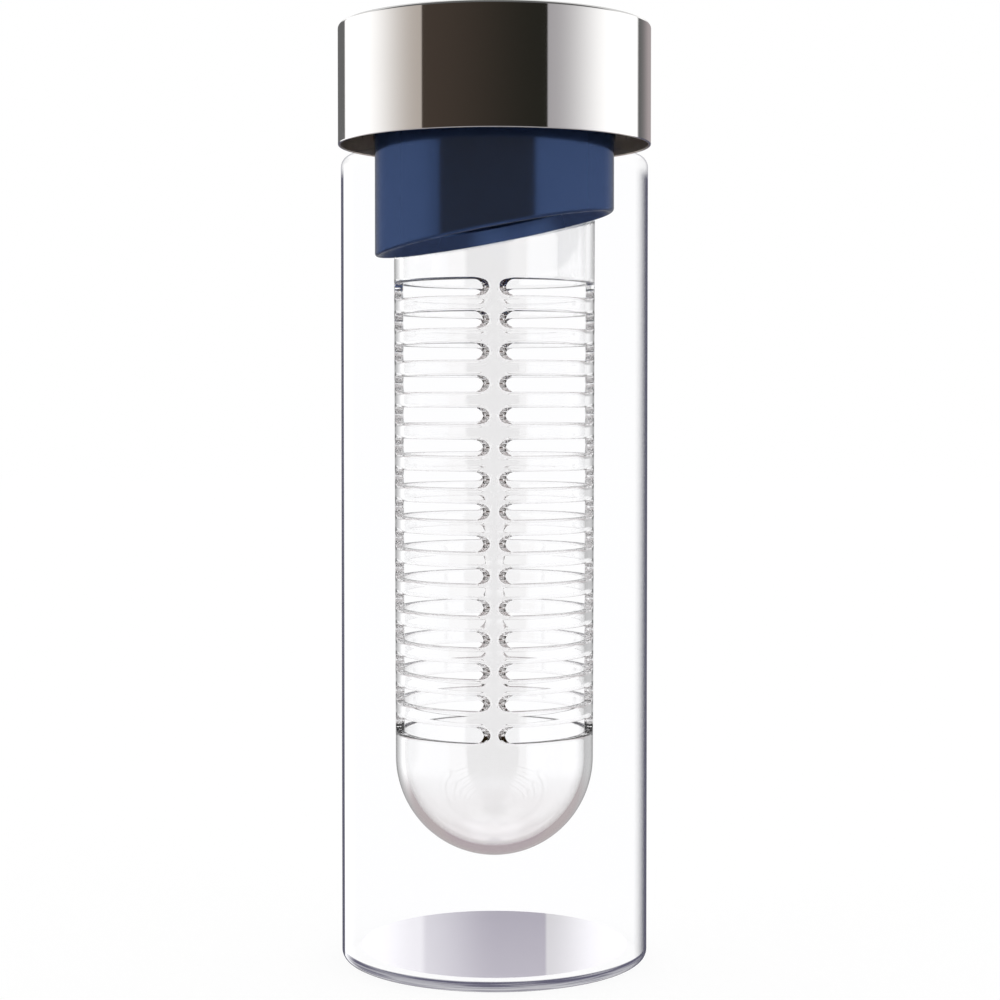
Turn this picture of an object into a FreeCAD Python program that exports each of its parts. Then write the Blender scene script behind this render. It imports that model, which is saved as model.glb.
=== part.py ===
import FreeCAD, Part
import math
import os

# Fruit infuser water bottle, in millimetres, +Z up, with its origin at the middle of the base.
# A glass body carries a plastic collar in its neck. The collar holds a slotted tube for fruit,
# and a steel cap with a plastic liner screws over the neck and closes the collar's mouth.

# Glass body: blown glass with a flat base, a short shoulder and a straight neck
glass_diameter = 70.0
glass_height = 183.0
glass_wall = 2.2
glass_floor = 2.4
base_edge_rounding = 1.7
base_inner_rounding = 2.0
shoulder_width = 4.8
shoulder_wall = 2.6
shoulder_rounding = 2.6
shoulder_inner_rounding = 1.8
neck_height = 19.5
neck_wall = 2.6
neck_root_rounding = 1.0
rim_rounding = 0.6

# Collar: moulded plug with a flange on the rim, a drinking mouth and a slanted skirt round the tube
collar_play = 0.3
flange_thickness = 2.5
flange_rounding = 0.6
lip_height = 1.5
lip_rounding = 0.6
mouth_wall = 3.3
funnel_height = 9.5
stop_thickness = 2.0
socket_depth = 25.5
socket_play = 0.1
skirt_wall = 4.2
skirt_drop = 44.0
skirt_rise = 10.3
skirt_lip = 1.0
skirt_lip_rounding = 0.8

# Infuser tube: clear moulded tube with a little draft, a round bottom and rows of slots
tube_wall = 2.0
tube_draft = 0.33
tube_end_play = 0.1
tube_rim_rounding = 0.4
tube_floor_gap = 20.8
slot_height = 3.6
slot_pitch = 7.04
slot_top_margin = 7.9
slot_dome_margin = 7.0
rib_width = 1.3

# Cap: drawn steel cup over a moulded liner, whose boss and bore hold the flat gasket
cap_height = 27.0
cap_overhang = 0.66
shell_wall = 0.6
shell_edge_rounding = 0.7
shell_lip_rounding = 0.25
bond_gap = 0.05
liner_ceiling = 2.06
liner_recess = 7.5
liner_rounding = 0.5
thread_gap = 2.0
boss_wall = 1.5
boss_reach = 1.0

# Seals: silicone rings, flat under the flange and the cap, round on the collar and the tube
rim_gasket_thickness = 1.5
rim_gasket_margin = 0.2
cap_gasket_thickness = 1.8
cap_gasket_play = 0.3
collar_ring_section = 2.0
collar_ring_drop = 9.5
collar_ring_play = 0.1
grip_ring_section = 1.2
grip_ring_drop = 3.2
grip_ring_proud = 0.05
ring_seat_gap = 0.05
ring_groove_play = 0.15

# Cuts run past the faces that they open by this much
overrun = 1.0

# Radii, from the glass inwards and then out to the cap
glass_radius = glass_diameter / 2
neck_radius = glass_radius - shoulder_width
bore_radius = neck_radius - neck_wall
collar_radius = bore_radius - collar_play
mouth_radius = collar_radius - mouth_wall
socket_radius = collar_radius - skirt_wall
tube_radius = socket_radius - socket_play
tube_bore_radius = tube_radius - tube_wall
dome_radius = tube_radius - tube_draft
dome_bore_radius = dome_radius - tube_wall
cap_radius = glass_radius + cap_overhang
liner_radius = cap_radius - shell_wall - bond_gap
liner_bore_radius = neck_radius + thread_gap
boss_radius = mouth_radius - cap_gasket_play
collar_ring_radius = bore_radius - collar_ring_play
grip_ring_radius = tube_radius + grip_ring_proud

# Heights, stacked up from the base to the cap's top
rim_z = glass_height + neck_height
flange_z = rim_z + rim_gasket_thickness
flange_top_z = flange_z + flange_thickness
lip_z = flange_top_z + lip_height
ceiling_z = lip_z + cap_gasket_thickness
liner_top_z = ceiling_z + liner_ceiling
cap_top_z = liner_top_z + shell_wall
cap_low_z = cap_top_z - cap_height

# Heights of what hangs from the flange, down to the tube's round bottom
skirt_low_z = flange_z - skirt_drop
collar_ring_z = flange_z - collar_ring_drop
stop_z = flange_z - socket_depth
tube_top_z = stop_z - tube_end_play
grip_ring_z = tube_top_z - grip_ring_drop
tube_low_z = glass_floor + tube_floor_gap
dome_z = tube_low_z + dome_radius

# The skirt's lower edge is a slanted plane, lowest on the -X side
skirt_slope_share = skirt_rise / (2 * collar_radius)
skirt_slant = math.atan(skirt_slope_share)

ORIGIN = FreeCAD.Vector(0, 0, 0)
Y_AXIS = FreeCAD.Vector(0, 1, 0)
Z_AXIS = FreeCAD.Vector(0, 0, 1)
FULL_TURN = 360
EIGHTH_TURN = math.radians(45)


def at(radius, height):
    """A point of a turned outline, in the XZ plane."""
    return FreeCAD.Vector(radius, 0, height)


def line(start, end):
    return Part.LineSegment(start, end).toShape()


def arc(start, middle, end):
    return Part.Arc(start, middle, end).toShape()


def turned(edges):
    """The solid that a closed outline sweeps in a full turn about the Z axis."""
    outline = Part.Wire(Part.sortEdges(edges)[0])
    return Part.Face(outline).revolve(ORIGIN, Z_AXIS, FULL_TURN)


def rounded_corner(before, corner, after, rounding):
    """Start, middle and end of the arc that rounds a corner between its two neighbours."""
    back = (before - corner).normalize()
    ahead = (after - corner).normalize()
    half_angle = back.getAngle(ahead) / 2
    reach = rounding / math.tan(half_angle)
    inward = (back + ahead).normalize()
    middle = corner + inward * (rounding / math.sin(half_angle) - rounding)
    return corner + back * reach, middle, corner + ahead * reach


def lathe(corners):
    """Turns an outline of corners, each (radius, height) or (radius, height, rounding)."""
    points = [at(corner[0], corner[1]) for corner in corners]
    edges = []
    stops = []
    for index, corner in enumerate(corners):
        point = points[index]
        if len(corner) == 2:
            stops.append((point, point))
            continue
        following = points[(index + 1) % len(points)]
        start, middle, end = rounded_corner(points[index - 1], point, following, corner[2])
        edges.append(arc(start, middle, end))
        stops.append((start, end))
    for index, (start, end) in enumerate(stops):
        edges.append(line(stops[index - 1][1], start))
    return turned(edges)


def flat_ring(inner_radius, outer_radius, low_z, high_z):
    """A ring with square corners."""
    return lathe([
        (inner_radius, low_z),
        (outer_radius, low_z),
        (outer_radius, high_z),
        (inner_radius, high_z),
    ])


def o_ring(outer_radius, section, height):
    """A round ring that reaches out to the given radius."""
    centre = FreeCAD.Vector(0, 0, height)
    return Part.makeTorus(outer_radius - section / 2, section / 2, centre, Z_AXIS)


def o_ring_groove(outer_radius, section, height):
    """What is cut from the wall round a piece so that an O-ring sits in it."""
    floor_radius = outer_radius - section - ring_seat_gap
    half_width = section / 2 + ring_groove_play
    return flat_ring(floor_radius, outer_radius + overrun, height - half_width, height + half_width)


def glass_body():
    """Outside up from the base, over the shoulder and neck, and back down the inside."""
    inner_radius = glass_radius - glass_wall
    shoulder_inner_z = glass_height - shoulder_wall
    return lathe([
        (0, 0),
        (glass_radius, 0, base_edge_rounding),
        (glass_radius, glass_height, shoulder_rounding),
        (neck_radius, glass_height, neck_root_rounding),
        (neck_radius, rim_z, rim_rounding),
        (bore_radius, rim_z, rim_rounding),
        (bore_radius, shoulder_inner_z, rim_rounding),
        (inner_radius, shoulder_inner_z, shoulder_inner_rounding),
        (inner_radius, glass_floor, base_inner_rounding),
        (0, glass_floor),
    ])


def rim_gasket():
    return flat_ring(bore_radius + rim_gasket_margin, neck_radius - rim_gasket_margin, rim_z, flange_z)


def below_skirt_edge():
    """A block whose top is the skirt's slanted edge, to cut the turned skirt to length."""
    reach = collar_radius + overrun
    depth = skirt_rise + 2 * overrun
    block = Part.makeBox(2 * reach / math.cos(skirt_slant), 2 * reach, depth)
    block.translate(FreeCAD.Vector(-overrun, -reach, -depth))
    block.rotate(ORIGIN, Y_AXIS, -math.degrees(skirt_slant))
    block.translate(FreeCAD.Vector(-collar_radius, 0, skirt_low_z))
    return block


def skirt_edges(collar, radius):
    """The edges that the slanted cut leaves on the skirt's wall of the given radius."""
    found = []
    for edge in collar.Edges:
        middle = edge.valueAt((edge.FirstParameter + edge.LastParameter) / 2)
        plane_z = skirt_low_z + (middle.x + collar_radius) * skirt_slope_share
        on_plane = abs(middle.z - plane_z) < collar_play
        on_wall = abs(math.hypot(middle.x, middle.y) - radius) < collar_play
        if on_plane and on_wall:
            found.append(edge)
    return found


def infuser_collar():
    """Up the outside from the skirt to the lip, then down the mouth, funnel, stop and socket.

    A wide chamfer inside the skirt's slanted edge leads the tube into its socket.
    """
    blank_z = skirt_low_z - overrun
    funnel_z = stop_z + stop_thickness
    collar = lathe([
        (collar_radius, blank_z),
        (collar_radius, flange_z),
        (neck_radius, flange_z),
        (neck_radius, flange_top_z, flange_rounding),
        (collar_radius, flange_top_z, flange_rounding),
        (collar_radius, lip_z, lip_rounding),
        (mouth_radius, lip_z, lip_rounding),
        (mouth_radius, funnel_z + funnel_height),
        (tube_bore_radius, funnel_z),
        (tube_bore_radius, stop_z),
        (socket_radius, stop_z),
        (socket_radius, blank_z),
    ])
    collar = collar.cut(o_ring_groove(collar_ring_radius, collar_ring_section, collar_ring_z))
    collar = collar.cut(below_skirt_edge())
    collar = collar.makeChamfer(skirt_wall - skirt_lip, skirt_edges(collar, socket_radius))
    return collar.makeFillet(min(skirt_lip_rounding, skirt_lip), skirt_edges(collar, collar_radius))


def collar_o_ring():
    return o_ring(collar_ring_radius, collar_ring_section, collar_ring_z)


def dome_arc(radius):
    """A quarter circle from the axis out to where the dome meets the tube's wall."""
    diagonal = radius * math.sin(EIGHTH_TURN)
    return arc(at(0, dome_z - radius), at(diagonal, dome_z - diagonal), at(radius, dome_z))


def slot_half_length():
    """Half a slot's length, which leaves a rib of the named width at the bore, a quarter turn apart."""
    rib_angle = math.asin(rib_width / 2 / dome_bore_radius)
    return dome_bore_radius * math.sin(EIGHTH_TURN - rib_angle)


def slot_heights():
    """Rows from under the skirt's lowest edge down to the dome."""
    first = skirt_low_z - slot_top_margin
    last = dome_z + slot_dome_margin
    rows = int((first - last) / slot_pitch) + 1
    return [first - row * slot_pitch for row in range(rows)]


def slot_cutter(height, direction):
    """A slot with full-round ends, cut straight through both sides of the tube."""
    end_radius = slot_height / 2
    half_length = slot_half_length()
    straight = half_length - end_radius
    reach = tube_radius + overrun
    low_left = FreeCAD.Vector(-reach, -straight, height - end_radius)
    low_right = FreeCAD.Vector(-reach, straight, height - end_radius)
    high_right = FreeCAD.Vector(-reach, straight, height + end_radius)
    high_left = FreeCAD.Vector(-reach, -straight, height + end_radius)
    outline = Part.Wire([
        line(low_left, low_right),
        arc(low_right, FreeCAD.Vector(-reach, half_length, height), high_right),
        line(high_right, high_left),
        arc(high_left, FreeCAD.Vector(-reach, -half_length, height), low_left),
    ])
    cutter = Part.Face(outline).extrude(FreeCAD.Vector(2 * reach, 0, 0))
    cutter.rotate(ORIGIN, Z_AXIS, math.degrees(direction))
    return cutter


def infuser_tube():
    """A drafted tube with a round bottom, slotted along two diagonals so that four ribs are left."""
    outer_low = at(dome_radius, dome_z)
    outer_high = at(tube_radius, tube_top_z)
    inner_high = at(tube_bore_radius, tube_top_z)
    inner_low = at(dome_bore_radius, dome_z)
    tube = turned([
        dome_arc(dome_radius),
        line(outer_low, outer_high),
        line(outer_high, inner_high),
        line(inner_high, inner_low),
        dome_arc(dome_bore_radius),
        line(at(0, tube_low_z + tube_wall), at(0, tube_low_z)),
    ])
    rim = [edge for edge in tube.Edges if edge.BoundBox.ZMin > tube_top_z - tube_rim_rounding]
    tube = tube.makeFillet(tube_rim_rounding, rim)
    tube = tube.cut(o_ring_groove(grip_ring_radius, grip_ring_section, grip_ring_z))
    for direction in (EIGHTH_TURN, -EIGHTH_TURN):
        tube = tube.cut([slot_cutter(height, direction) for height in slot_heights()])
    return tube


def tube_grip_ring():
    return o_ring(grip_ring_radius, grip_ring_section, grip_ring_z)


def cap_gasket():
    return flat_ring(boss_radius + cap_gasket_play, liner_bore_radius - cap_gasket_play, lip_z, ceiling_z)


def cap_liner():
    """The top and wall fill the shell, and the boss and the bore hold the flat gasket."""
    liner_low_z = cap_low_z + liner_recess
    boss_low_z = lip_z - boss_reach
    boss_bore_radius = boss_radius - boss_wall
    return lathe([
        (0, liner_top_z),
        (liner_radius, liner_top_z, liner_rounding),
        (liner_radius, liner_low_z, liner_rounding),
        (liner_bore_radius, liner_low_z, liner_rounding),
        (liner_bore_radius, ceiling_z),
        (boss_radius, ceiling_z),
        (boss_radius, boss_low_z, liner_rounding),
        (boss_bore_radius, boss_low_z, liner_rounding),
        (boss_bore_radius, ceiling_z),
        (0, ceiling_z),
    ])


def cap_shell():
    """A drawn cup: the outside from the top's middle down to the edge, and back up the inside."""
    inner_radius = cap_radius - shell_wall
    return lathe([
        (0, cap_top_z),
        (cap_radius, cap_top_z, shell_edge_rounding),
        (cap_radius, cap_low_z, shell_lip_rounding),
        (inner_radius, cap_low_z, shell_lip_rounding),
        (inner_radius, liner_top_z, shell_edge_rounding - shell_wall),
        (0, liner_top_z),
    ])


pieces = {
    "glass_body": glass_body(),
    "rim_gasket": rim_gasket(),
    "infuser_collar": infuser_collar(),
    "collar_o_ring": collar_o_ring(),
    "infuser_tube": infuser_tube(),
    "tube_grip_ring": tube_grip_ring(),
    "cap_gasket": cap_gasket(),
    "cap_liner": cap_liner(),
    "cap_shell": cap_shell(),
}
os.makedirs("parts", exist_ok=True)
for node, shape in pieces.items():
    shape.exportStep(f"parts/{node}.step")
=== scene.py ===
import math

import bmesh
import bpy
import numpy as np
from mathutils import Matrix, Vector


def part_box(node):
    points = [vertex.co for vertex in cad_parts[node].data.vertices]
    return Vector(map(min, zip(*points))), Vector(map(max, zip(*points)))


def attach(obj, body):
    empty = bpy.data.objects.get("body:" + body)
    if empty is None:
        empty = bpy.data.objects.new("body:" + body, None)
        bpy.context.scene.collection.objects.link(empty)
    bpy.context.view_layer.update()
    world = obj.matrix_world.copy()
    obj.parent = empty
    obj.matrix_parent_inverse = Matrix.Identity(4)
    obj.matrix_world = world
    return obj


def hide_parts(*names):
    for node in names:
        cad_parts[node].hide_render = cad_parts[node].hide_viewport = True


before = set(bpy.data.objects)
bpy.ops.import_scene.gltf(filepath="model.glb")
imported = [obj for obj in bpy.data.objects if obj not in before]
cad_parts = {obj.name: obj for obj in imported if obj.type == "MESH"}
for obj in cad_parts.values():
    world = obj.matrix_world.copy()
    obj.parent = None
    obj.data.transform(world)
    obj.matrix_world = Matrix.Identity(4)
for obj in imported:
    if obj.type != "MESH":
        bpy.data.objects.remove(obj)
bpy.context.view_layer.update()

# Glass body: a blown bottle of clear glass with a thick flat base, a thin straight wall and a short
# shoulder. Its neck has a three-start thread for the cap and ends in a ground, fire-polished rim.
MM = 0.001
glass_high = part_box("glass_body")[1]
glass_radius = glass_high.x
rim_z = glass_high.z
glass_wall = 2.2 * MM
glass_floor = 2.4 * MM
base_edge_rounding = 1.7 * MM
base_inner_rounding = 2.0 * MM
neck_height = 19.5 * MM
neck_radius = glass_radius - 4.8 * MM
bore_radius = neck_radius - 2.6 * MM
shoulder_z = rim_z - neck_height
shoulder_inner_z = shoulder_z - 2.6 * MM
shoulder_rounding = 2.6 * MM
shoulder_inner_rounding = 1.8 * MM
neck_root_rounding = 1.0 * MM
rim_rounding = 0.6 * MM
thread_starts = 3
thread_pitch = 4.0 * MM
thread_height = 1.4 * MM
thread_low_z = rim_z - 14.5 * MM
thread_high_z = rim_z - 2.0 * MM
rings_per_pitch = 16
glass_around = 240


class Wire:
    """A socket in a node tree. Arithmetic on wires adds Math nodes to the tree that they are in."""

    def __init__(self, tree, socket=None):
        self.tree = tree
        self.socket = socket

    def add(self, kind, settings=(), sockets=(), output=0):
        """Adds a node, makes its settings, fills its sockets with values or wires and returns an output."""
        node = self.tree.nodes.new(kind)
        for name, value in dict(settings).items():
            setattr(node, name, value)
        for key, value in dict(sockets).items():
            if isinstance(value, Wire):
                self.tree.links.new(value.socket, node.inputs[key])
            else:
                node.inputs[key].default_value = value
        return Wire(self.tree, node.outputs[output] if node.outputs else None)

    def twin(self, output):
        """Another output of the same node."""
        return Wire(self.tree, self.socket.node.outputs[output])

    def math(self, operation, *values):
        """A Math node's result on these values."""
        return self.add("ShaderNodeMath", {"operation": operation}, enumerate(values))

    def __add__(self, other):
        return self.math("ADD", self, other)

    def __sub__(self, other):
        return self.math("SUBTRACT", self, other)

    def __rsub__(self, other):
        return self.math("SUBTRACT", other, self)

    def __mul__(self, other):
        return self.math("MULTIPLY", self, other)

    def __truediv__(self, other):
        return self.math("DIVIDE", self, other)

    __radd__ = __add__
    __rmul__ = __mul__

    def rise(self, low, high):
        """0 up to low and 1 from high on, with a smooth step between them."""
        ends = {"Value": self, "From Min": low, "From Max": high}
        return self.add("ShaderNodeMapRange", {"interpolation_type": "SMOOTHSTEP"}, ends)

    def fall(self, low, high):
        """1 up to low and 0 from high on, with a smooth step between them."""
        return 1 - self.rise(low, high)

    def tint(self, first, second):
        """The first colour where this wire is 0 and the second where it is 1."""
        return self.add("ShaderNodeMix", {"data_type": "RGBA"}, {0: self, 6: first, 7: second}, output=2)

    def noise(self, per_metre, detail=2.0):
        """Cloudy values about a half, at so many to the metre along this vector wire."""
        return self.add("ShaderNodeTexNoise", (), {"Vector": self, "Scale": per_metre, "Detail": detail})

    def bump(self, depth):
        """A surface normal from this wire as a height, where 1 stands so many metres out."""
        return self.add("ShaderNodeBump", (), {"Height": self, "Distance": depth})


def grey(value):
    return (value, value, value, 1.0)


def finish(name, fixed, varied):
    """A surface finish: fixed values for all of it, and wires for what changes from place to place."""
    material = bpy.data.materials.new(name)
    material.use_nodes = True
    tree = material.node_tree
    shader = tree.nodes["Principled BSDF"]
    for socket, value in fixed.items():
        shader.inputs[socket].default_value = value
    place = Wire(tree).add("ShaderNodeTexCoord", output="Object")
    for socket, wire in varied(place).items():
        tree.links.new(wire.socket, shader.inputs[socket])
    return material


def rounded_outline(corners, arc_steps=8):
    """Points of a closed outline with corners of (radius, height) or (radius, height, rounding)."""
    points = []
    for index, (radius, height, *rounding) in enumerate(corners):
        corner = np.array((radius, height))
        if not rounding:
            points.append(corner)
            continue
        back = np.array(corners[index - 1][:2]) - corner
        ahead = np.array(corners[(index + 1) % len(corners)][:2]) - corner
        back /= np.linalg.norm(back)
        ahead /= np.linalg.norm(ahead)
        half_angle = math.acos(back @ ahead) / 2
        inward = (back + ahead) / np.linalg.norm(back + ahead)
        centre = corner + inward * rounding[0] / math.sin(half_angle)
        first = corner + back * rounding[0] / math.tan(half_angle) - centre
        second = corner + ahead * rounding[0] / math.tan(half_angle) - centre
        sweep = math.pi - 2 * half_angle
        for step in range(arc_steps + 1):
            turn = sweep * step / arc_steps
            spoke = first * math.sin(sweep - turn) + second * math.sin(turn)
            points.append(centre + spoke / math.sin(sweep))
    return points


def clean_mesh(name, vertices, faces):
    """A mesh with its doubles merged, its faces outwards and its sharp edges kept sharp."""
    merge_distance = 0.001 * MM
    crease_angle = math.radians(50)
    mesh = bpy.data.meshes.new(name)
    mesh.from_pydata(vertices, [], faces)
    edit = bmesh.new()
    edit.from_mesh(mesh)
    bmesh.ops.remove_doubles(edit, verts=edit.verts, dist=merge_distance)
    bmesh.ops.recalc_face_normals(edit, faces=edit.faces)
    edit.to_mesh(mesh)
    edit.free()
    mesh.shade_smooth()
    mesh.set_sharp_from_angle(angle=crease_angle)
    return mesh


def turned_mesh(name, outline, around):
    """What a closed outline of (radius, height) points sweeps in a turn about the Z axis."""
    vertices = []
    faces = []
    for index, (radius, height) in enumerate(outline):
        ring = index * around
        following = (index + 1) % len(outline) * around
        for step in range(around):
            angle = 2 * math.pi * step / around
            beside = (step + 1) % around
            vertices.append((radius * math.cos(angle), radius * math.sin(angle), height))
            faces.append((ring + step, ring + beside, following + beside, following + step))
    return clean_mesh(name, vertices, faces)


def new_piece(name, mesh, material):
    """Puts a mesh with one material into the scene."""
    mesh.materials.clear()
    mesh.materials.append(material)
    piece = bpy.data.objects.new(name, mesh)
    bpy.context.scene.collection.objects.link(piece)
    return piece


def even_normals(piece):
    """Flat and long faces keep their own direction, so that only roundings turn the light."""
    piece.modifiers.new("even_normals", "WEIGHTED_NORMAL").keep_sharp = True
    return settled(piece)


def settled(piece):
    """Turns what the piece's modifiers give into its own plain mesh."""
    seen = piece.evaluated_get(bpy.context.evaluated_depsgraph_get())
    mesh = bpy.data.meshes.new_from_object(seen)
    piece.modifiers.clear()
    piece.data = mesh
    return piece


def new_tree(name, inputs):
    """A Geometry Nodes tree, and the wires that its named inputs come in on."""
    tree = bpy.data.node_groups.new(name, "GeometryNodeTree")
    kinds = {"Geometry": "NodeSocketGeometry", **inputs}
    for socket, kind in kinds.items():
        tree.interface.new_socket(socket, in_out="INPUT", socket_type=kind)
    tree.interface.new_socket("Geometry", in_out="OUTPUT", socket_type="NodeSocketGeometry")
    source = Wire(tree).add("NodeGroupInput")
    return {socket: source.twin(socket) for socket in kinds}


def end_tree(geometry, material):
    """Closes a tree with real geometry that carries its material."""
    real = geometry.add("GeometryNodeRealizeInstances", (), {"Geometry": geometry})
    painted = geometry.add("GeometryNodeSetMaterial", (), {"Geometry": real, "Material": material})
    geometry.add("NodeGroupOutput", (), {"Geometry": painted})
    return geometry.tree


def grow(piece, tree, sizes):
    """Runs a tree on a piece with the given sizes and keeps the result as a plain mesh."""
    modifier = piece.modifiers.new(tree.name, "NODES")
    modifier.node_group = tree
    for socket in tree.interface.items_tree:
        if socket.in_out == "INPUT" and socket.name in sizes:
            modifier[socket.identifier] = sizes[socket.name]
    return settled(piece)


def thread_tree():
    """Raises the ridges of a screw thread on a round wall, outwards or, if negative, inwards."""
    crest_share = 0.3
    foot_share = 0.66
    on_wall = 0.05 * MM
    sizes = ("Wall Radius", "Ridge Height", "Pitch", "Starts", "Shift Share", "Low", "High")
    inputs = {size: "NodeSocketFloat" for size in sizes}
    wires = new_tree("screw_thread", {**inputs, "Material": "NodeSocketMaterial"})
    geometry = wires["Geometry"]
    place = geometry.add("GeometryNodeInputPosition")
    x = place.add("ShaderNodeSeparateXYZ", (), {0: place})
    y = x.twin("Y")
    z = x.twin("Z")
    radius = x.math("SQRT", x * x + y * y)
    turns = x.math("ARCTAN2", y, x) / (2 * math.pi)
    phase = x.math("FRACT", z / wires["Pitch"] - wires["Starts"] * turns + wires["Shift Share"])
    from_crest = 2 * x.math("ABSOLUTE", phase - 0.5)
    ridge = from_crest.fall(crest_share, foot_share)
    run_out = wires["Pitch"]
    fade = z.rise(wires["Low"], wires["Low"] + run_out) * z.fall(wires["High"] - run_out, wires["High"])
    on_thread = x.math("COMPARE", radius, wires["Wall Radius"], on_wall)
    growth = wires["Ridge Height"] * ridge * fade * on_thread / radius
    offset = x.add("ShaderNodeCombineXYZ", (), {"X": x * growth, "Y": y * growth})
    raised = geometry.add("GeometryNodeSetPosition", (), {"Geometry": geometry, "Offset": offset})
    return end_tree(raised, wires["Material"])


def glass_look(place):
    """The gloss of glass, as smooth as its making leaves it, with faint wipe marks."""
    dullest = 0.02
    waves = place.noise(per_metre=22.0, detail=0.0)
    wiped = place.noise(per_metre=60.0)
    return {
        "Base Color": waves.tint((0.93, 0.93, 0.97, 1), (0.97, 0.97, 0.99, 1)),
        "Roughness": wiped.rise(0.55, 0.9) * dullest,
    }


def clear_finish(name, varied):
    """Thin clear glass: the eye sees straight through it, in faint violet at its floor and through a
    painted streaky grey shade at the solid edge of its base. Its outside mirrors the room where it turns
    away from the eye, and has a painted dark shade where the eye sees it edge-on."""
    wall_start = glass_radius - 1.8 * MM
    wall_full = glass_radius - 0.8 * MM
    shoulder_start = shoulder_z - 6 * MM
    shoulder_full = shoulder_z - 3 * MM
    neck_start = shoulder_z + 3 * MM
    neck_full = shoulder_z + 5 * MM
    flat_radius = glass_radius - glass_wall - base_inner_rounding
    flat_blur = 0.2 * MM
    edge_full_z = glass_floor + 0.1 * MM
    edge_end_z = glass_floor + 0.4 * MM
    shoulder_dulling = 0.85
    floor_shine = 0.77
    neck_shine = 0.8
    # Painted shade: how dark the outline is made where the eye sees the wall or neck edge-on
    edge_on_shade_strength = 0.6
    # Painted shade on the base's solid edge: a plain share, more towards its top, and more in streaks
    band_shade_plain = 0.50
    band_shade_deep = 0.26
    band_shade_streaks = 0.3
    drawn_out = (0.02, 0.02, 1)
    mirror_facing = (0.585, 0.865)
    edge_on_facing = (0.8, 0.97)
    material = finish(name, {"Metallic": 1.0}, varied)
    tree = material.node_tree
    gloss = Wire(tree, tree.nodes["Principled BSDF"].outputs[0])
    place = gloss.add("ShaderNodeTexCoord", output="Object")
    x = place.add("ShaderNodeSeparateXYZ", (), {0: place})
    z = x.twin("Z")
    radius = x.math("SQRT", x * x + x.twin("Y") * x.twin("Y"))
    wall = radius.rise(wall_start, wall_full)
    shoulder = z.rise(shoulder_start, shoulder_full)
    neck = z.rise(neck_start, neck_full)
    inner_floor = z.rise(0.8 * glass_floor, 0.95 * glass_floor) * z.fall(glass_floor, 1.5 * glass_floor)
    inner_floor = inner_floor * radius.fall(flat_radius - flat_blur, flat_radius)
    base_edge = wall * z.fall(edge_full_z, edge_end_z)
    stretched = x.add("ShaderNodeVectorMath", {"operation": "MULTIPLY"}, {0: place, 1: drawn_out})
    shade_streaks = stretched.noise(per_metre=2600.0)
    shine = x.math("MAXIMUM", wall * (1 - shoulder_dulling * shoulder), floor_shine * inner_floor)
    shine = x.math("MAXIMUM", shine, neck_shine * neck)
    facing = x.add("ShaderNodeLayerWeight", (), {"Blend": 0.5}, output="Facing")
    turned_away = facing.rise(*mirror_facing)
    # Painted shade along the outline, where the eye sees the wall or the neck edge-on
    painted_edge_on_shade = edge_on_shade_strength * facing.rise(*edge_on_facing) * x.math("MAXIMUM", wall, neck)
    outside = 1 - x.add("ShaderNodeNewGeometry", output="Backfacing")
    clear = x.add("ShaderNodeBsdfTransparent", (), {"Color": (0.998, 0.998, 1.0, 1)})
    violet = x.add("ShaderNodeBsdfTransparent", (), {"Color": (0.95, 0.925, 0.97, 1)})
    # Painted shade: a dark see-through grey, mixed in at the outline and at the base's solid edge
    painted_shade = x.add("ShaderNodeBsdfTransparent", (), {"Color": (0.125, 0.12, 0.175, 1)})
    body = x.add("ShaderNodeMixShader", (), {0: inner_floor, 1: clear, 2: violet})
    # Painted shade over the base's solid edge, darker towards its top and streaky
    deep = z.rise(0.2 * glass_floor, 1.05 * glass_floor)
    painted_band_shade = band_shade_plain + band_shade_deep * deep + band_shade_streaks * shade_streaks.rise(0.4, 0.6)
    body = x.add("ShaderNodeMixShader", (), {0: outside * base_edge * painted_band_shade, 1: body, 2: painted_shade})
    glass = x.add("ShaderNodeMixShader", (), {0: turned_away * outside * shine, 1: body, 2: gloss})
    glass = x.add("ShaderNodeMixShader", (), {0: painted_edge_on_shade * outside, 1: glass, 2: painted_shade})
    tree.links.new(glass.socket, tree.nodes["Material Output"].inputs["Surface"])
    return material


clear_glass = clear_finish("clear_glass", glass_look)
screw_thread = thread_tree()
thread_rings = np.arange(thread_low_z, thread_high_z, thread_pitch / rings_per_pitch)
glass_outline = rounded_outline([
    (0, 0),
    (glass_radius, 0, base_edge_rounding),
    (glass_radius, shoulder_z, shoulder_rounding),
    (neck_radius, shoulder_z, neck_root_rounding),
    *((neck_radius, height) for height in thread_rings),
    (neck_radius, rim_z, rim_rounding),
    (bore_radius, rim_z, rim_rounding),
    (bore_radius, shoulder_inner_z, rim_rounding),
    (glass_radius - glass_wall, shoulder_inner_z, shoulder_inner_rounding),
    (glass_radius - glass_wall, glass_floor, base_inner_rounding),
    (0, glass_floor),
])
glass_mesh = turned_mesh("bottle_glass", glass_outline, glass_around)
bottle_glass = new_piece("bottle_glass", glass_mesh, clear_glass)
even_normals(grow(bottle_glass, screw_thread, {
    "Wall Radius": neck_radius,
    "Ridge Height": thread_height,
    "Pitch": thread_pitch,
    "Starts": thread_starts,
    "Low": thread_low_z,
    "High": thread_high_z,
    "Material": clear_glass,
}))
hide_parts("glass_body")
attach(bottle_glass, "bottle")

# Seals: four rings of soft white silicone. Two are flat, under the collar's flange and the cap's
# ceiling, and two are round, in grooves of the collar and of the tube. They keep their moulded shape.


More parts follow.
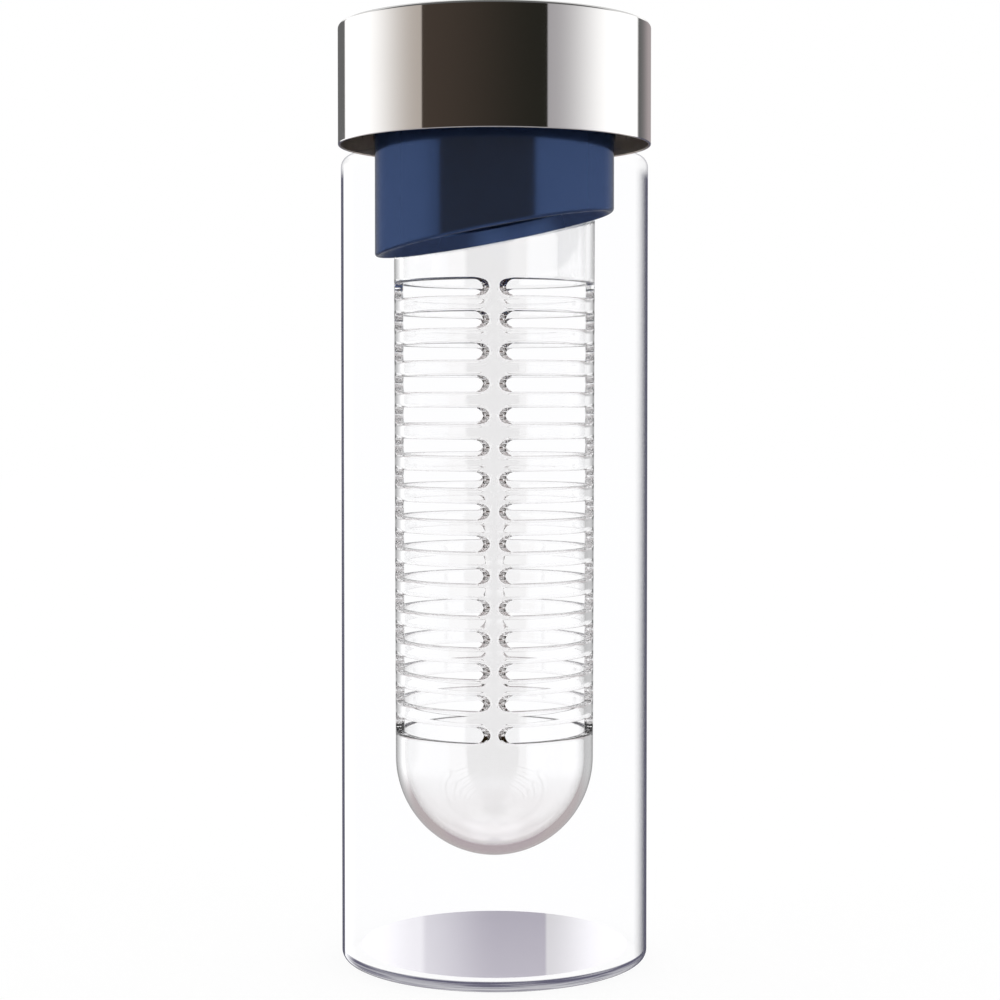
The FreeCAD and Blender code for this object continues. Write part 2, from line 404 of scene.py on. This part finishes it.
def silicone_look(place):
    """Milky rubber with a dusty, slightly uneven surface."""
    cloud = place.noise(per_metre=180.0)
    dust = place.noise(per_metre=2600.0)
    return {
        "Base Color": cloud.tint((0.76, 0.77, 0.78, 1), (0.86, 0.87, 0.88, 1)),
        "Roughness": 0.42 + 0.2 * dust,
        "Normal": dust.bump(0.02 * MM),
    }


silicone = finish("silicone", {"Subsurface Weight": 0.25, "Subsurface Scale": 1.0 * MM}, silicone_look)
for ring in ("rim_gasket", "collar_o_ring", "tube_grip_ring", "cap_gasket"):
    ring_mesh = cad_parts[ring].data
    ring_mesh.materials.clear()
    ring_mesh.materials.append(silicone)

# Collar: one glossy moulding in navy plastic. It plugs the neck, rests on the rim by its flange, ends
# above in the drinking lip and below in a slanted skirt, chamfered inside to lead the tube in.
collar_low, collar_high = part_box("infuser_collar")
flange_radius = collar_high.x
lip_z = collar_high.z
skirt_low_z = collar_low.z
collar_radius = bore_radius - 0.3 * MM
flange_z = rim_z + 1.5 * MM
flange_top_z = flange_z + 2.5 * MM
flange_rounding = 0.6 * MM
mouth_radius = collar_radius - 3.3 * MM
tube_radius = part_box("infuser_tube")[1].x
tube_wall = 2.0 * MM
stop_z = flange_z - 25.5 * MM
funnel_z = stop_z + 2.0 * MM
funnel_top_z = funnel_z + 9.5 * MM
socket_radius = tube_radius + 0.1 * MM
skirt_rise = 10.3 * MM
skirt_lip = 1.0 * MM
skirt_lip_rounding = 0.8 * MM
skirt_chamfer = collar_radius - skirt_lip - socket_radius
collar_groove_z = flange_z - 9.5 * MM
collar_groove_radius = bore_radius - 2.15 * MM
collar_groove_half = 1.15 * MM
moulded_rounding = 0.25 * MM
collar_around = 240


def slanted(mesh):
    """Lifts the skirt's level lower edge to its slant, which climbs towards +X."""
    edge_zone = 2 * skirt_chamfer
    slope = skirt_rise / (2 * collar_radius)
    for vertex in mesh.vertices:
        if vertex.co.z < skirt_low_z + edge_zone:
            vertex.co.z += slope * (vertex.co.x + collar_radius)
    return mesh


def collar_look(place):
    """Deep navy with a pearly blue gloss and the slight orange peel of a polished mould."""
    flow = place.noise(per_metre=35.0)
    peel = place.noise(per_metre=900.0, detail=0.0)
    return {
        "Base Color": flow.tint((0.040, 0.070, 0.160, 1), (0.048, 0.080, 0.178, 1)),
        "Roughness": 0.12 + 0.04 * peel,
        "Normal": peel.bump(0.0005 * MM),
    }


navy_gloss = {"Metallic": 0.72, "Specular IOR Level": 0.1, "Specular Tint": (0.45, 0.48, 0.58, 1)}
navy_plastic = finish("navy_plastic", navy_gloss, collar_look)
collar_outline = rounded_outline([
    (collar_radius, skirt_low_z, skirt_lip_rounding),
    (collar_radius, collar_groove_z - collar_groove_half, moulded_rounding),
    (collar_groove_radius, collar_groove_z - collar_groove_half, moulded_rounding),
    (collar_groove_radius, collar_groove_z + collar_groove_half, moulded_rounding),
    (collar_radius, collar_groove_z + collar_groove_half, moulded_rounding),
    (collar_radius, flange_z, moulded_rounding),
    (flange_radius, flange_z, moulded_rounding),
    (flange_radius, flange_top_z, flange_rounding),
    (collar_radius, flange_top_z, flange_rounding),
    (collar_radius, lip_z, flange_rounding),
    (mouth_radius, lip_z, flange_rounding),
    (mouth_radius, funnel_top_z, moulded_rounding),
    (tube_radius - tube_wall, funnel_z, moulded_rounding),
    (tube_radius - tube_wall, stop_z, moulded_rounding),
    (socket_radius, stop_z),
    (socket_radius, skirt_low_z + skirt_chamfer, moulded_rounding),
    (socket_radius + skirt_chamfer, skirt_low_z),
])
collar_mesh = slanted(turned_mesh("collar", collar_outline, collar_around))
collar = even_normals(new_piece("collar", collar_mesh, navy_plastic))
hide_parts("infuser_collar")
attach(collar, "infuser")

# Infuser tube: a clear, thick moulding with a round bottom. Rows of long slots with round ends are
# cut through it along two diagonals, which leaves four narrow ribs and a stack of thin hoops.
tube_low, tube_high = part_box("infuser_tube")
tube_top_z = tube_high.z
dome_radius = tube_radius - 0.33 * MM
dome_z = tube_low.z + dome_radius
tube_rim_rounding = 0.4 * MM
slot_rows = 15
slot_columns = 4
slot_pitch = 7.04 * MM
slot_height = 3.6 * MM
slot_half_length = 14.15 * MM
slot_edge_rounding = 0.25 * MM
first_slot_z = skirt_low_z - 7.9 * MM
last_slot_z = first_slot_z - (slot_rows - 1) * slot_pitch
slots_top_z = first_slot_z + slot_pitch / 2
slots_low_z = last_slot_z - slot_pitch / 2
cell_half_width = slot_half_length + 1.2 * MM
grip_groove_z = tube_top_z - 3.2 * MM
grip_groove_depth = 1.2 * MM
grip_groove_half = 0.75 * MM
front_dip_share = 0.075
straight_steps = 28
corner_steps = 4
side_steps = 8
dome_steps = 48


def slot_loop(margin):
    """Points round a slot, so far outside its edge, as (along the wall, height), from its middle."""
    end_radius = slot_height / 2
    straight = slot_half_length - end_radius
    end_steps = 2 * corner_steps + side_steps
    loop = []
    for side in (1, -1):
        for step in range(straight_steps):
            share = 1 - 2 * step / straight_steps
            loop.append((side * straight * share, side * (end_radius + margin)))
        for step in range(end_steps):
            angle = math.pi / 2 + math.pi * step / end_steps
            along = math.cos(angle) * (end_radius + margin) - straight
            loop.append((side * along, side * math.sin(angle) * (end_radius + margin)))
    return np.array(loop)


def cell_loop():
    """Points round the rectangle of wall that belongs to one slot, one for each point of the slot."""
    straight = slot_half_length - slot_height / 2
    top = slot_pitch / 2
    loop = []
    for side in (1, -1):
        for step in range(straight_steps):
            share = 1 - 2 * step / straight_steps
            loop.append((side * straight * share, side * top))
        for step in range(corner_steps):
            along = straight + (cell_half_width - straight) * step / corner_steps
            loop.append((-side * along, side * top))
        for step in range(side_steps):
            loop.append((-side * cell_half_width, side * top * (1 - 2 * step / side_steps)))
        for step in range(corner_steps):
            along = cell_half_width - (cell_half_width - straight) * step / corner_steps
            loop.append((-side * along, -side * top))
    return np.array(loop)


def strip_faces(rows, columns, closed):
    """Faces of a grid of points, row after row, whose rows may be closed loops."""
    faces = []
    for row in range(rows - 1):
        for column in range(columns if closed else columns - 1):
            beside = (column + 1) % columns
            low = row * columns
            high = low + columns
            faces.append((low + column, low + beside, high + beside, high + column))
    return faces


def flat_slot_cell():
    """One slot in its piece of wall, laid flat: X along the wall, Y into it and Z up."""
    rounding = slot_edge_rounding
    shallow = rounding * (1 - math.sqrt(0.5))
    cell = cell_loop()
    edge = slot_loop(rounding)
    outside = [(cell, 0), ((cell + edge) / 2, 0), (edge, 0), (slot_loop(shallow), shallow)]
    rings = outside + [(slot_loop(0), rounding)]
    rings += [(loop, tube_wall - depth) for loop, depth in reversed(rings)]
    vertices = [(along, depth, height) for loop, depth in rings for along, height in loop]
    mesh = bpy.data.meshes.new("slot_cell")
    mesh.from_pydata(vertices, [], strip_faces(len(rings), len(cell), closed=True))
    return mesh


def slot_pattern_tree():
    """Repeats a flat slot in rows, downwards, and in columns along the wall."""
    inputs = {
        "Rows": "NodeSocketInt",
        "Row Step": "NodeSocketVector",
        "First Row": "NodeSocketVector",
        "Columns": "NodeSocketInt",
        "Column Step": "NodeSocketVector",
        "Material": "NodeSocketMaterial",
    }
    wires = new_tree("slot_pattern", inputs)
    cell = wires["Geometry"]
    rows = {"Count": wires["Rows"], "Start Location": wires["First Row"], "Offset": wires["Row Step"]}
    columns = {"Count": wires["Columns"], "Offset": wires["Column Step"]}
    for line in (rows, columns):
        points = cell.add("GeometryNodeMeshLine", (), line)
        cell = cell.add("GeometryNodeInstanceOnPoints", (), {"Points": points, "Instance": cell})
        cell = cell.add("GeometryNodeRealizeInstances", (), {"Geometry": cell})
    return end_tree(cell, wires["Material"])


def flat_band(profile):
    """A plain band of wall over all columns, laid flat, along (height, depth) points."""
    straight = slot_half_length - slot_height / 2
    margin = np.linspace(straight, cell_half_width, corner_steps + 1)[1:]
    column = np.concatenate([-margin[::-1], np.linspace(-straight, straight, straight_steps + 1), margin])
    places = [2 * cell_half_width * index + column[:-1] for index in range(slot_columns)]
    along = np.append(np.concatenate(places), 2 * cell_half_width * slot_columns - cell_half_width)
    vertices = [(place, depth, height) for height, depth in profile for place in along]
    return vertices, strip_faces(len(profile), len(along), closed=False)


def rolled_up(flat):
    """Places of flat points on the tube: slots keep straight sides, and the low end closes in a dome."""
    column = np.clip(np.floor(flat[:, 0] / (2 * cell_half_width) + 0.5), 0, slot_columns - 1)
    along = flat[:, 0] - column * 2 * cell_half_width
    depth = flat[:, 1]
    height = flat[:, 2]
    draft_share = (np.maximum(height, dome_z) - dome_z) / (tube_top_z - dome_z)
    radius = dome_radius + (tube_radius - dome_radius) * draft_share - depth
    slot_end = np.arcsin(slot_half_length / radius)
    in_rib = (np.abs(along) - slot_half_length) / (cell_half_width - slot_half_length)
    rib_angle = np.sign(along) * (slot_end + in_rib * (math.pi / 4 - slot_end))
    slot_angle = np.arcsin(np.clip(along / radius, -1, 1))
    angle = math.pi / 4 + column * math.pi / 2 + np.where(in_rib > 0, rib_angle, slot_angle)
    dip = np.maximum(dome_z - height, 0) / dome_radius
    turned = radius * np.cos(dip)
    z = np.maximum(height, dome_z) - radius * np.sin(dip)
    return np.column_stack([turned * np.cos(angle), turned * np.sin(angle), z])


def tube_look(place):
    """Clear, polished plastic with faint flow lines, and a painted pinkish-grey shade over the lower part
    of its round bottom.
    """
    # Painted shade: the lower part of the round bottom is tinted pinkish grey, up to a wandering border
    dome_shade_full_z = tube_low.z + 8 * MM
    dome_shade_end_z = tube_low.z + 13 * MM
    border_wander = 6 * MM
    dullest = 0.01
    flow = place.noise(per_metre=30.0, detail=0.0)
    wiped = place.noise(per_metre=70.0)
    z = place.add("ShaderNodeSeparateXYZ", (), {0: place}, output="Z")
    painted_dome_shade = (z + (wiped - 0.5) * border_wander).fall(dome_shade_full_z, dome_shade_end_z)
    clear_colour = flow.tint((0.985, 0.985, 0.988, 1), (0.996, 0.996, 0.998, 1))
    return {
        # Painted shade: pinkish grey over the lower dome, clear above it
        "Base Color": painted_dome_shade.tint(clear_colour, (0.950, 0.938, 0.937, 1)),
        "Roughness": wiped.rise(0.55, 0.9) * dullest,
        "Normal": flow.bump(0.02 * MM),
    }


def seated_finish(name, varied):
    """The tube's plastic, which shows nothing of itself but its outline where it sits in the slanted
    skirt, and little of itself on one plain stretch of its back above the slots. The seated zone comes
    lower towards the front, where the eye looks up into the skirt."""
    border_blur = 0.3 * MM
    seated_full = 6.5 * MM
    seated_end = 8.0 * MM
    outline_start = 3.0 * MM
    outline_full = 4.0 * MM
    outline_facing = (0.6, 0.8)
    slots_clear_z = slots_top_z + 0.6 * MM
    plain_back_share = 0.75
    material = finish(name, {"Transmission Weight": 1.0, "IOR": 1.58}, varied)
    tree = material.node_tree
    plastic = Wire(tree, tree.nodes["Principled BSDF"].outputs[0])
    place = plastic.add("ShaderNodeTexCoord", output="Object")
    x = place.add("ShaderNodeSeparateXYZ", (), {0: place})
    y = x.twin("Y")
    z = x.twin("Z")
    skirt_z = skirt_low_z + (x + collar_radius) * (skirt_rise / (2 * collar_radius))
    far_edge = x.math("SQRT", collar_radius ** 2 - x * x)
    above_edge = z - skirt_z + (far_edge - y) * front_dip_share
    right_side = x.rise(2 * MM, 5 * MM)
    back = y.rise(4 * MM, 7 * MM)
    plain_back = right_side * back * z.rise(slots_top_z, slots_clear_z)
    seated = above_edge.rise(-border_blur, border_blur)
    seated = x.math("MAXIMUM", seated, plain_back_share * plain_back)
    facing = x.add("ShaderNodeLayerWeight", (), {"Blend": 0.5}, output="Facing")
    outline = facing.rise(*outline_facing) * above_edge.rise(outline_start, outline_full)
    seated = seated * above_edge.fall(seated_full, seated_end) * (1 - outline)
    clear = x.add("ShaderNodeBsdfTransparent", (), {"Color": grey(1.0)})
    tube = x.add("ShaderNodeMixShader", (), {0: seated, 1: plastic, 2: clear})
    tree.links.new(tube.socket, tree.nodes["Material Output"].inputs["Surface"])
    return material


clear_plastic = seated_finish("clear_plastic", tube_look)
slots = new_piece("slots", flat_slot_cell(), clear_plastic)
grow(slots, slot_pattern_tree(), {
    "Rows": slot_rows,
    "Row Step": (0, 0, -slot_pitch),
    "First Row": (0, 0, first_slot_z),
    "Columns": slot_columns,
    "Column Step": (2 * cell_half_width, 0, 0),
    "Material": clear_plastic,
})
dome_end = dome_z - dome_radius * math.pi / 2
dome_heights = np.linspace(dome_z, dome_end, dome_steps + 1)
rim_profile = rounded_outline([
    (slots_top_z, 0),
    (grip_groove_z - grip_groove_half, 0),
    (grip_groove_z - grip_groove_half, grip_groove_depth),
    (grip_groove_z + grip_groove_half, grip_groove_depth),
    (grip_groove_z + grip_groove_half, 0),
    (tube_top_z, 0, tube_rim_rounding),
    (tube_top_z, tube_wall, tube_rim_rounding),
    (slots_top_z, tube_wall),
])
bands = [flat_band(rim_profile)]
for depth in (0, tube_wall):
    bands.append(flat_band([(slots_low_z, depth), *((height, depth) for height in dome_heights)]))
flat_vertices = [tuple(vertex.co) for vertex in slots.data.vertices]
flat_faces = [tuple(polygon.vertices) for polygon in slots.data.polygons]
for band_vertices, band_faces in bands:
    start = len(flat_vertices)
    flat_vertices += band_vertices
    flat_faces += [tuple(start + corner for corner in face) for face in band_faces]
tube_mesh = clean_mesh("slotted_tube", rolled_up(np.array(flat_vertices)), flat_faces)
bpy.data.objects.remove(slots)
slotted_tube = new_piece("slotted_tube", tube_mesh, clear_plastic)
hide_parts("infuser_tube")
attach(slotted_tube, "tube")

# Cap liner: a dark satin moulding pressed into the steel shell. Its bore has the thread that runs on
# the neck, and the short boss in its middle centres the flat gasket.
liner_low, liner_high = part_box("cap_liner")
liner_radius = liner_high.x
liner_top_z = liner_high.z
liner_low_z = liner_low.z
ceiling_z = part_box("cap_gasket")[1].z
liner_bore_radius = neck_radius + 2.0 * MM
boss_radius = mouth_radius - 0.3 * MM
boss_bore_radius = boss_radius - 1.5 * MM
boss_low_z = lip_z - 1.0 * MM
liner_rounding = 0.5 * MM
liner_around = 240


def liner_look(place):
    """Charcoal plastic with the fine grain of an etched mould."""
    grain = place.noise(per_metre=3500.0)
    cloud = place.noise(per_metre=40.0)
    return {
        "Base Color": cloud.tint((0.030, 0.030, 0.032, 1), (0.042, 0.042, 0.045, 1)),
        "Roughness": 0.40 + 0.2 * grain,
        "Normal": grain.bump(0.02 * MM),
    }


charcoal_plastic = finish("charcoal_plastic", {"IOR": 1.5}, liner_look)
liner_thread_low_z = liner_low_z + 0.5 * MM
liner_thread_high_z = rim_z - 1.0 * MM
liner_rings = np.arange(liner_thread_low_z, liner_thread_high_z, thread_pitch / rings_per_pitch)
liner_outline = rounded_outline([
    (0, liner_top_z),
    (0, ceiling_z),
    (boss_bore_radius, ceiling_z),
    (boss_bore_radius, boss_low_z, liner_rounding),
    (boss_radius, boss_low_z, liner_rounding),
    (boss_radius, ceiling_z),
    (liner_bore_radius, ceiling_z),
    *((liner_bore_radius, height) for height in liner_rings[::-1]),
    (liner_bore_radius, liner_low_z, liner_rounding),
    (liner_radius, liner_low_z, liner_rounding),
    (liner_radius, liner_top_z, liner_rounding),
])
liner_mesh = turned_mesh("cap_inner", liner_outline, liner_around)
cap_inner = new_piece("cap_inner", liner_mesh, charcoal_plastic)
even_normals(grow(cap_inner, screw_thread, {
    "Wall Radius": liner_bore_radius,
    "Ridge Height": -thread_height,
    "Pitch": thread_pitch,
    "Starts": thread_starts,
    "Shift Share": 0.5,
    "Low": liner_thread_low_z,
    "High": liner_thread_high_z,
    "Material": charcoal_plastic,
}))
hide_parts("cap_liner")
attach(cap_inner, "cap")

# Cap shell: a cup drawn from thin stainless steel and polished to a mirror on the wheel, which leaves
# hair-fine rings. Its lower edge is turned smooth and hangs below the liner, and its inside is left dull.
shell_low, shell_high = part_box("cap_shell")
shell_radius = shell_high.x
shell_wall = 0.6 * MM
shell_edge_rounding = 0.7 * MM
shell_lip_rounding = 0.25 * MM
shell_around = 240


def steel_look(place):
    """Mirror steel with hair-fine polishing rings about the cap's axis, and dull inside."""
    inside_roughness = 0.28
    polish_gain = 0.25
    x = place.add("ShaderNodeSeparateXYZ", (), {0: place})
    radius = x.math("SQRT", x * x + x.twin("Y") * x.twin("Y"))
    along = x.add("ShaderNodeCombineXYZ", (), {"X": radius, "Y": x.twin("Z")})
    rings = along.noise(per_metre=9000.0)
    haze = place.noise(per_metre=45.0)
    outside = radius.rise(shell_radius - 0.5 * shell_wall, shell_radius - 0.3 * shell_wall)
    outside = x.math("MAXIMUM", outside, x.twin("Z").rise(liner_top_z, liner_top_z + 0.5 * shell_wall))
    polished = haze.tint((0.84, 0.83, 0.82, 1), (0.88, 0.87, 0.86, 1))
    return {
        "Base Color": outside.tint((0.62, 0.56, 0.50, 1), polished),
        "Roughness": inside_roughness - polish_gain * outside + 0.03 * rings + 0.02 * haze,
        "Normal": rings.bump(0.0004 * MM),
    }


mirror_steel = finish("mirror_steel", {"Metallic": 1.0}, steel_look)
shell_outline = rounded_outline([
    (0, shell_high.z),
    (0, liner_top_z),
    (shell_radius - shell_wall, liner_top_z, shell_edge_rounding - shell_wall),
    (shell_radius - shell_wall, shell_low.z, shell_lip_rounding),
    (shell_radius, shell_low.z, shell_lip_rounding),
    (shell_radius, shell_high.z, shell_edge_rounding),
])
shell_mesh = turned_mesh("steel_cap", shell_outline, shell_around)
steel_cap = even_normals(new_piece("steel_cap", shell_mesh, mirror_steel))
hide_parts("cap_shell")
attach(steel_cap, "cap")

# Floor: a wide white table. The eye sees it glow as the white room does, also through glass, and the
# rest of it takes light and the bottle's soft shadow. Mirrored rays pass it and see the room instead.


def path_shares(tree):
    """1 for a ray that has come straight from the eye, and 1 for one that has been mirrored on its way."""
    camera_ray = tree.add("ShaderNodeLightPath", output="Is Camera Ray")
    reflected = camera_ray.math("GREATER_THAN", camera_ray.twin("Glossy Depth"), 0.5)
    straight = camera_ray.twin("Is Transmission Ray") * (1 - reflected)
    return camera_ray.math("MAXIMUM", camera_ray, straight), camera_ray.twin("Is Glossy Ray") * reflected


floor_half = 3.0
floor_drop = 0.2 * MM
floor_glow_share = 0.86
floor_glow = 1.05
floor_mesh = bpy.data.meshes.new("floor")
floor_corners = [(-floor_half, -floor_half), (floor_half, -floor_half)]
floor_corners += [(floor_half, floor_half), (-floor_half, floor_half)]
floor_mesh.from_pydata([(*corner, -floor_drop) for corner in floor_corners], [], [(0, 1, 2, 3)])
white_table = bpy.data.materials.new("white_table")
white_table.use_nodes = True
white_table.node_tree.nodes.clear()
table_tree = Wire(white_table.node_tree)
table_straight, table_mirrored = path_shares(table_tree)
lit = table_tree.add("ShaderNodeBsdfDiffuse", (), {"Color": grey(0.85)})
glow = table_tree.add("ShaderNodeEmission", (), {"Color": grey(1.0), "Strength": floor_glow})
open_air = table_tree.add("ShaderNodeBsdfTransparent")
table = table_tree.add("ShaderNodeMixShader", (), {0: table_straight * floor_glow_share, 1: lit, 2: glow})
table = table_tree.add("ShaderNodeMixShader", (), {0: table_mirrored, 1: table, 2: open_air})
table_tree.add("ShaderNodeOutputMaterial", (), {"Surface": table})
new_piece("floor", floor_mesh, white_table)

# Room: a white studio, with its directions in degrees. What is polished mirrors a dark doorway behind the
# camera, grey walls beside it, dim far corners, a dark rail below the ceiling and a grey low part. Inside
# the glass the walls are paler, and its floor mirrors a dark screen behind the bottle.
room = bpy.data.worlds.new("room")
bpy.context.scene.world = room
room.use_nodes = True
room.node_tree.nodes.clear()
room_tree = Wire(room.node_tree)
ray = room_tree.add("ShaderNodeTexCoord", output="Generated")
ray_x = ray.add("ShaderNodeSeparateXYZ", (), {0: ray})
ray_y = ray_x.twin("Y")
bearing = ray_x.math("ARCTAN2", ray_x, 0 - ray_y) * math.degrees(1)
left_bearing = 0 - bearing
aside = bearing.math("ABSOLUTE", bearing)
off_back = ray_x.math("ARCTAN2", ray_x, ray_y) * math.degrees(1)
climb = ray_x.math("ARCSINE", ray_x.twin("Z")) * math.degrees(1)
straight, mirrored = path_shares(room_tree)
behind_glass = ray_x.add("ShaderNodeLightPath", output="Transparent Depth").rise(1.4, 1.6)
in_plastic = ray_x.add("ShaderNodeLightPath", output="Transmission Depth").rise(0.4, 0.6)
in_front = 1 - behind_glass
in_glass_only = behind_glass * (1 - in_plastic)

# The doorway and the walls, which are white from so far round
doorway_left = -53.5
doorway_right = 38.5
jamb_blur = 0.5
plastic_shift = 21
room_foot = (-40, -30)
left_white = 112
right_white = 98
left_white_in_glass = 75
right_white_in_glass = 44
left_jamb = (bearing - plastic_shift * in_plastic).rise(doorway_left - jamb_blur, doorway_left + jamb_blur)
right_jamb = bearing.fall(doorway_right - jamb_blur, doorway_right + jamb_blur)
doorway = left_jamb * right_jamb * climb.rise(*room_foot)
dusk = bearing.rise(doorway_left, doorway_right).tint((0.058, 0.044, 0.035, 1), (0.020, 0.019, 0.015, 1))
dusk = in_glass_only.tint(dusk, (0.27, 0.16, 0.07, 1))
on_right = bearing.rise(-1, 1)
left_wall = left_bearing.rise(-doorway_left, left_white).tint((0.49, 0.44, 0.40, 1), grey(1.25))
right_wall = bearing.rise(doorway_right, right_white).tint((0.42, 0.405, 0.42, 1), grey(1.25))
left_in_glass = left_bearing.rise(-doorway_left, left_white_in_glass)
right_in_glass = bearing.rise(doorway_right, right_white_in_glass)
walls_in_glass = on_right.tint(left_in_glass, right_in_glass).tint(grey(0.7), grey(1.0))
walls = behind_glass.tint(on_right.tint(left_wall, right_wall), walls_in_glass)
walls = in_plastic.tint(walls, grey(1.2))

# The far corners, which the cap sees from higher up than the collar does
room_top = (35, 50)
cap_climb = (6.4, 6.65)
corner_top = (14, 20)
right_corner_start = (127, 131)
right_corner_shine = (131, 158)
left_corner_start = (139.5, 143)
low_left_corner_start = (152, 157)
far_wall_start = (140, 165)
far_plastic_start = (138, 165)
right_plastic_start = (108, 138)
right_plastic_fade = (-4, -1)
right_plastic_loss = 0.65
level = climb.rise(*room_foot) * climb.fall(*room_top)
cap_level = climb.rise(*cap_climb)
left_corner = cap_level * left_bearing.rise(*left_corner_start)
left_corner = left_corner + (1 - cap_level) * left_bearing.rise(*low_left_corner_start)
far_corner = (bearing.rise(*right_corner_start) + left_corner) * level * climb.fall(*corner_top) * in_front
cap_corner = bearing.rise(*right_corner_shine).tint(grey(0.14), (0.40, 0.355, 0.36, 1))
corner_colour = cap_level.tint((0.11, 0.11, 0.145, 1), cap_corner)
far_wall = aside.rise(*far_wall_start) * level * in_glass_only
right_plastic = 1 - right_plastic_loss * climb.rise(*right_plastic_fade)
right_plastic = bearing.rise(*right_plastic_start) * right_plastic
far_plastic = bearing.math("MAXIMUM", aside.rise(*far_plastic_start), right_plastic) * level * in_plastic

# What lies above and below: the ceiling, the rail and the low part, also as the tube's dome sees it
ceiling_start = (18, 30)
rail_foot = (14, 20)
rail_end = (85, 110)
low_room_top = (-35, -20)
under_dome_top = (-26, -11)
under_dome_foot = (-75, -62)
ceiling = climb.rise(*ceiling_start) * in_front
rail = climb.rise(*rail_foot) * aside.fall(*rail_end) * in_front
low_room = climb.fall(*low_room_top) * in_front
under_dome = climb.fall(*under_dome_top) * climb.rise(*under_dome_foot) * behind_glass

# The screen, whose left edge is soft in three steps and whose right edge is sharp
screen_steps = ((0.25, -3.0, -2.0), (0.28, -1.95, -1.75), (0.47, -2.2, 0.2))
screen_right = (1.3, 1.4)
screen_shade_end = 2.9
screen_white = grey(1.15)
low_back_foot = (7, 9)
low_back_top = (24, 28)
low_back_left = (-22, -18)
low_back_right = (18, 22)
screen = sum(share * off_back.rise(start, full) for share, start, full in screen_steps)
screen = screen * off_back.fall(*screen_right)
right_of_screen = off_back.rise(screen_right[0], screen_shade_end).tint(grey(0.45), screen_white)
beside_screen = off_back.rise(-1, 1).tint(screen_white, right_of_screen)
screen_colour = screen.tint(beside_screen, (0.02, 0.0, 0.08, 1))
low_back = climb.rise(*low_back_foot) * climb.fall(*low_back_top) * behind_glass
low_back = low_back * off_back.rise(*low_back_left) * off_back.fall(*low_back_right)

# The mirrored room, where each of these covers those before it
mirrored_room = doorway.tint(walls, dusk)
for part_of_room, colour in (
    (far_corner, corner_colour),
    (far_wall, grey(0.4)),
    (far_plastic, grey(0.45)),
    (ceiling, grey(0.72)),
    (rail, grey(0.12)),
    (low_room, (0.40, 0.39, 0.40, 1)),
    (under_dome, (0.48, 0.43, 0.43, 1)),
    (low_back, screen_colour),
):
    mirrored_room = part_of_room.tint(mirrored_room, colour)
lit_room = doorway.tint(grey(1.0), grey(0.35))
background = straight.tint(mirrored.tint(lit_room, mirrored_room), grey(1.0))
light = room_tree.add("ShaderNodeBackground", (), {"Color": background, "Strength": 1.0})
room_tree.add("ShaderNodeOutputWorld", (), {"Surface": light})

# Camera: at the photograph's place, a little above the bottle's middle and tipped a little down. The
# lens's shift frames the bottle as the photograph does.
camera_distance = 494.7 * MM
camera_height = 127.6 * MM
camera_dip = math.radians(1.64)
camera_data = bpy.data.cameras.new("camera")
camera_data.sensor_width = 36.0
camera_data.lens = 77.65
camera_data.shift_x = 0.0056
camera_data.shift_y = -0.0384
camera = bpy.data.objects.new("camera", camera_data)
camera.location = (0, -camera_distance, camera_height)
camera.rotation_euler = (math.radians(90) - camera_dip, 0, 0)
bpy.context.scene.collection.objects.link(camera)
bpy.context.scene.camera = camera
bpy.context.scene.view_settings.view_transform = "Standard"
bpy.context.scene.cycles.max_bounces = 32
bpy.context.scene.cycles.transmission_bounces = 32
bpy.context.scene.cycles.glossy_bounces = 16
bpy.context.scene.cycles.transparent_max_bounces = 24
